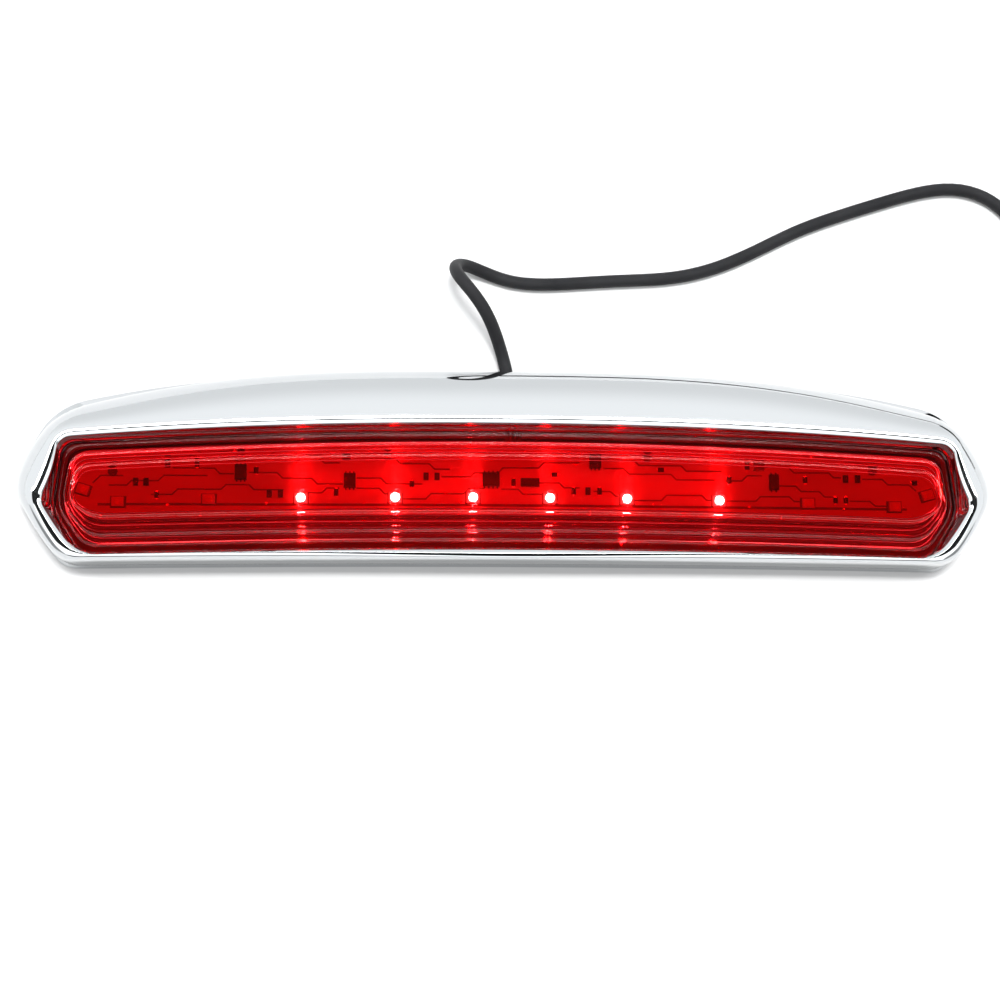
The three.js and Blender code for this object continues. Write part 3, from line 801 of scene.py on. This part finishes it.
# Tracks across the board, as corner points in millimetres: the long rail, then the runs between parts.
TRACK_WIDTH = 0.42
RAIL_SHARE = 1.7  # how much wider the long rail is
TRACK_RUNS = [
    [
        (-119, -13.2), (-96, -13), (-60, -12.9), (-20, -12.7),
        (20, -12.7), (60, -12.9), (96, -13), (117, -13.2),
    ],
    [(-116, -7.6), (-111, -7.6), (-109.6, -6.2), (-102, -6.2), (-100.4, -4.6), (-88, -4.6)],
    [
        (-104, -10.2), (-98, -10.2), (-96.4, -8.6), (-84, -8.6),
        (-82.6, -7.2), (-76, -7.2), (-74.6, -8.6), (-66, -8.6),
    ],
    [(-99, 0.8), (-92, 0.8), (-90, 2.6), (-80, 2.6)],
    [(-76.4, 2.6), (-70, 2.6), (-68.4, 1), (-56, 1), (-54.4, -0.6), (-50, -0.6)],
    [(-98, -2.4), (-86, -2.4), (-84.4, -4), (-80.4, -4)],
    [(-76, -3.6), (-68, -3.6), (-66.4, -5.2), (-58, -5.2), (-56.4, -6.8), (-49, -6.8)],
    [(-63, -9.4), (-55, -9.4), (-53.6, -8), (-50, -8)],
    [(-45, -5), (-38, -5), (-36.4, -6.6), (-26, -6.6)],
    [(-45, -8), (-38.4, -8), (-36.8, -9.6), (-35, -9.6)],
    [(-46, 1), (-34, 1), (-32.4, -0.6), (-24, -0.6), (-22.4, -2.2), (-18, -2.2)],
    [(-32, -11), (-25, -11), (-23.4, -9.4), (-14, -9.4), (-12.4, -7.8), (-8, -7.8)],
    [(-20.4, -4.4), (-12, -4.4), (-10.8, -3.2), (-4, -3.2), (-2.4, -1.6), (8, -1.6), (9.6, 0), (20, 0)],
    [(-3, -8), (2, -8), (3.4, -9.4), (9, -9.4)],
    [(8, -6), (14, -6), (15.4, -7.4), (20, -7.4)],
    [(24, -8.4), (29, -8.4), (30.6, -9.8), (32, -9.8)],
    [(26.6, 1), (36, 1), (37.6, -0.6), (50, -0.6), (51.6, -2.2), (62, -2.2)],
    [(27, -1.6), (33, -1.6), (34.6, -3.2), (47, -3.2), (48.6, -4.8), (60, -4.8)],
    [(36, -11), (44, -11), (45.6, -9.4), (56, -9.4), (57.4, -10.8), (59, -10.8)],
    [(63, -5), (68, -5), (69.6, -3.4), (74, -3.4)],
    [(75, -0.8), (82, -0.8), (83.6, -2.4), (94, -2.4), (95.4, -3.8), (97.6, -3.8)],
    [(79, -6.4), (84, -6.4), (85.6, -8), (91, -8), (92.6, -9.6), (95, -9.6)],
    [(63, -11), (72, -11), (73.4, -9.6), (82, -9.6), (83.4, -11), (85.4, -11)],
    [(104, -4.2), (110, -4.2), (111.6, -5.8), (118, -5.8), (120, -7.6)],
    [(100, -10.8), (106, -10.8), (107.6, -12.2), (111, -12.2)],
    [(86, 2), (98, 2), (99.6, 0.4), (106, 0.4)],
    [(-120.6, -7), (-118.4, -4.8), (-112, -4.8)],
]


def strip(bm, run, width, z):
    """A flat track through a run of points, a little proud of the board."""
    points = [Vector((x, y, 0)) for x, y in run]
    sides = []
    for i, p in enumerate(points):
        before = (p - points[i - 1]).normalized() if i else (points[1] - p).normalized()
        after = (points[i + 1] - p).normalized() if i + 1 < len(points) else before
        along = (before + after).normalized()
        across = Vector((-along.y, along.x, 0)) * (width / 2 / max(along.dot(before), 0.5))
        sides.append((p + across, p - across))
    low = [[bm.verts.new(Vector((v.x, v.y, z)) * MM) for v in pair] for pair in sides]
    high = [[bm.verts.new(Vector((v.x, v.y, z + 0.05)) * MM) for v in pair] for pair in sides]
    for i in range(len(sides) - 1):
        a, b, c, d = low[i], low[i + 1], high[i], high[i + 1]
        bm.faces.new((c[1], d[1], d[0], c[0]))
        bm.faces.new((a[0], b[0], b[1], a[1]))
        bm.faces.new((a[1], b[1], d[1], c[1]))
        bm.faces.new((b[0], a[0], c[0], d[0]))
    for a, c in ((low[0], high[0]), (low[-1][::-1], high[-1][::-1])):
        bm.faces.new((a[0], a[1], c[1], c[0]))


def make_tracks():
    bm = bmesh.new()
    for i, run in enumerate(TRACK_RUNS):
        strip(bm, run, TRACK_WIDTH * (RAIL_SHARE if i == 0 else 1), BOARD_TOP + 0.01)
    tracks = new_object("board_tracks", mesh_from(bm, "board_tracks"), track_copper())
    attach(tracks, "root")


# Small parts that share the board with the named ones: centre and size in millimetres.
SMALL_PARTS = [
    (-102.3, -10.4, 1.3, 1.8), (-74, -3, 1.4, 1.8), (-91, -1.2, 1.3, 1.8), (-50.9, -9.3, 1.3, 2),
    (0.6, -5.9, 1.3, 2), (18.2, -8.4, 1.3, 2), (25.8, -8.4, 1.3, 2), (64.2, -4.8, 1.4, 1.8),
    (69.6, -0.9, 1.4, 1.6), (95.7, -10.6, 1.3, 1.8), (98.8, -10.6, 1.3, 1.8), (119.6, -5.2, 1.6, 1.4),
    (44, -1.9, 1.8, 1.3), (-29, -6.6, 1.3, 1.6), (86.8, -4.6, 1.3, 1.8), (12.6, -3.6, 1.6, 1.2),
]


def make_small_parts():
    dark, bright = bmesh.new(), bmesh.new()
    for x, y, length, width in SMALL_PARTS:
        low, high = BOARD_TOP + 0.06, BOARD_TOP + 0.62
        add_block(dark, (x - length / 2, y - width / 2, low), (x + length / 2, y + width / 2, high), 0.08)
        long_x = length > width
        for side in (-1, 1):
            cx = x + side * length / 2 if long_x else x
            cy = y if long_x else y + side * width / 2
            add_block(bright, (cx - 0.45, cy - 0.45, low - 0.03), (cx + 0.45, cy + 0.45, low + 0.25), 0.12)
    parts = new_object("small_parts", mesh_from(dark, "small_parts"), chip_resin())
    joints = new_object("solder_joints", mesh_from(bright, "solder_joints"), solder())
    for piece, slot in ((parts, "chip_resin"), (joints, "screw_steel")):
        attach(piece, "root")


def make_board_dots():
    """Through-holes and test points along the board's edges."""
    bm = bmesh.new()
    for i in range(26):
        x = -118 + 9.4 * i
        y = (-14.2, 3.4, -11.9)[i % 3] - 2.2 * (x / 125) ** 2
        add_disc_stack(bm, (x, y, BOARD_TOP + 0.01), [(0.42, 0), (0.42, 0.05), (0.2, 0.06)], 12)
    dots = new_object("board_dots", mesh_from(bm, "board_dots"), solder())
    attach(dots, "root")


make_tracks()
make_small_parts()
make_board_dots()

# ------------------------------------------------------------------ carried-over nodes


def dress(material, *names):
    for name in names:
        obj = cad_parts[name]
        obj.data.materials.clear()
        obj.data.materials.append(material)


def dress_nodes():
    black = black_plastic()
    dress(black, "back_cover", "coil_tie", "connector_body")
    dress(carrier_plastic_painted_glow(), "board_carrier")
    dress(black_rubber(), "lens_gasket", "cable_elbow")
    dress(board_enamel(), "circuit_board")
    dress(chip_resin(), "driver_chip", "protection_diode", *[f"transistor_{i:02d}" for i in range(1, 5)])
    dress(chip_resin(), *[f"resistor_{i:02d}" for i in range(1, 13)])
    dress(chip_ceramic(), "capacitor_01")
    dress(screw_steel(), *[f"cover_screw_{i:02d}" for i in range(1, 5)])
    dress(foam(), "foam_pad_left", "foam_pad_right")
    dress(wire_skin("red_wire", (0.10, 0.004, 0.004), (0.14, 0.008, 0.006)), "inner_wire_red")
    dress(wire_skin("black_wire", (0.02, 0.02, 0.022), (0.035, 0.035, 0.04)), "inner_wire_black")
    dress(brass(), "connector_pin_left", "connector_pin_right")


dress_nodes()

# ------------------------------------------------------------------ studio


TABLE_SIDE = 6  # metres
KEY_SIZE = (0.3, 0.12)  # metres
KEY_WATTS, KEY_HEIGHT, KEY_LEAN = 17, 1.2, 9
STREAK_SIZE, STREAK_WATTS = (2.6, 30), 0.0006
STREAK_Y, STREAK_Z = -7.5, 11.9
POOL_SIZE, POOL_PLACE, POOL_WATTS = (130, 8), (0, -7, 12), 0.002


def make_table():
    """A wide sheet of pale paper, level with the bottom of the lamp."""
    half = TABLE_SIDE / 2
    corners = [(-half, -half, 0), (half, -half, 0), (half, half, 0), (-half, half, 0)]
    mesh = bpy.data.meshes.new("table_top")
    mesh.from_pydata(corners, [], [(0, 1, 2, 3)])
    new_object("table_top", mesh, paper())


def area_light(name, size, watts):
    """A rectangular lamp facing down, sized in metres, that mirrors and the lens don't show."""
    data = bpy.data.lights.new(name, "AREA")
    data.shape = "RECTANGLE"
    data.size, data.size_y = size
    data.energy = watts
    light = bpy.data.objects.new(name, data)
    light.visible_glossy = False
    light.visible_transmission = False
    bpy.context.collection.objects.link(light)
    return light


def glow_light(name, size, place, watts):
    """Red light on the board that stands for what the LEDs and the lens spread over it, unseen itself."""
    light = area_light(name, [v * MM for v in size], watts)
    light.data.color = (1.0, 0.03, 0.03)
    light.location = Vector(place) * MM
    light.visible_camera = False


def make_key_light():
    """A lamp nearly overhead that draws the narrow shadow in front."""
    light = area_light("key_light", KEY_SIZE, KEY_WATTS)
    light.location = (0.0, KEY_HEIGHT * math.tan(math.radians(KEY_LEAN)), KEY_HEIGHT)
    light.rotation_euler = (math.radians(-KEY_LEAN), 0, 0)


def make_glow():
    """The six lit LEDs' light on the board: a streak under each, and a broad pool round them all."""
    for i in LIT_LEDS:
        place = (centre_of(f"led_{i:02d}").x, STREAK_Y, STREAK_Z)
        glow_light(f"led_streak_{i:02d}", STREAK_SIZE, place, STREAK_WATTS)
    glow_light("led_pool", POOL_SIZE, POOL_PLACE, POOL_WATTS)


class Sky:
    """The studio round the lamp, as brightness by direction: X right, Y away from the camera's foot, Z up."""

    def __init__(self):
        world = bpy.data.worlds.new("studio")
        bpy.context.scene.world = world
        world.use_nodes = True
        self.tree = world.node_tree
        split = self.tree.nodes.new("ShaderNodeSeparateXYZ")
        where = self.tree.nodes.new("ShaderNodeTexCoord")
        self.tree.links.new(where.outputs["Generated"], split.inputs["Vector"])
        self.x, self.y, self.z = (split.outputs[axis] for axis in "XYZ")
        self.light = self.math("ADD", 0.0, 0.0)

    def math(self, operation, a, b):
        node = self.tree.nodes.new("ShaderNodeMath")
        node.operation = operation
        for socket, value in zip(node.inputs, (a, b)):
            if isinstance(value, (int, float)):
                socket.default_value = value
            else:
                self.tree.links.new(value, socket)
        return node.outputs["Value"]

    def rise(self, source, start, end, low=0.0, high=1.0):
        """Goes smoothly from low to high as the source goes from start to end."""
        node = self.tree.nodes.new("ShaderNodeMapRange")
        node.interpolation_type = "SMOOTHSTEP"
        for key, value in (("From Min", start), ("From Max", end), ("To Min", low), ("To Max", high)):
            node.inputs[key].default_value = value
        self.tree.links.new(source, node.inputs["Value"])
        return node.outputs["Result"]

    def window(self, source, low, high, soft):
        """One between two values of the source and nothing outside them."""
        up = self.rise(source, low - soft, low + soft)
        down = self.rise(source, high - soft, high + soft, 1, 0)
        return self.math("MULTIPLY", up, down)

    def panel(self, x_range, y_range, soft, brightness, above=0.02):
        """Lays a panel of one brightness over what is there."""
        across, along = self.window(self.x, *x_range, soft), self.window(self.y, *y_range, soft)
        inside = self.math("MULTIPLY", across, along)
        inside = self.math("MULTIPLY", inside, self.rise(self.z, above - 0.02, above + 0.02))
        change = self.math("SUBTRACT", brightness, self.light)
        self.light = self.math("ADD", self.light, self.math("MULTIPLY", change, inside))

    def finish(self):
        background = self.tree.nodes["Background"]
        tint = self.tree.nodes.new("ShaderNodeCombineColor")
        for channel, share in (("Red", 0.985), ("Green", 1.0), ("Blue", 1.012)):
            self.tree.links.new(self.math("MULTIPLY", self.light, share), tint.inputs[channel])
        self.tree.links.new(tint.outputs["Color"], background.inputs["Color"])


def make_sky():
    """A pale tent, dimmer in front, with two bright strips overhead and a dark gap between them."""
    sky = Sky()
    sky.light = sky.rise(sky.y, 0.45, 0.95, 1.54, 1.22)
    sky.panel((-2, 2), (-2, -0.19), 0.03, 0.45)
    sky.panel((-0.62, 0.62), (-0.77, -0.20), 0.03, 2.0)
    sky.panel((-0.97, 0.97), (-0.96, -0.80), 0.02, 0.02, above=0.08)
    sky.panel((-0.60, 0.60), (-0.18, 0.0), 0.015, 3)
    sky.panel((-0.60, 0.60), (0.02, 0.225), 0.008, 0.03)
    sky.panel((-0.66, 0.66), (0.235, 0.285), 0.006, 22)
    sky.finish()


def make_studio():
    make_table()
    make_sky()
    make_key_light()
    make_glow()


make_studio()

scene = bpy.context.scene
scene.view_settings.view_transform = "Standard"
scene.view_settings.look = "None"
scene.cycles.sample_clamp_indirect = 0
scene.cycles.caustics_reflective = False
scene.cycles.caustics_refractive = False
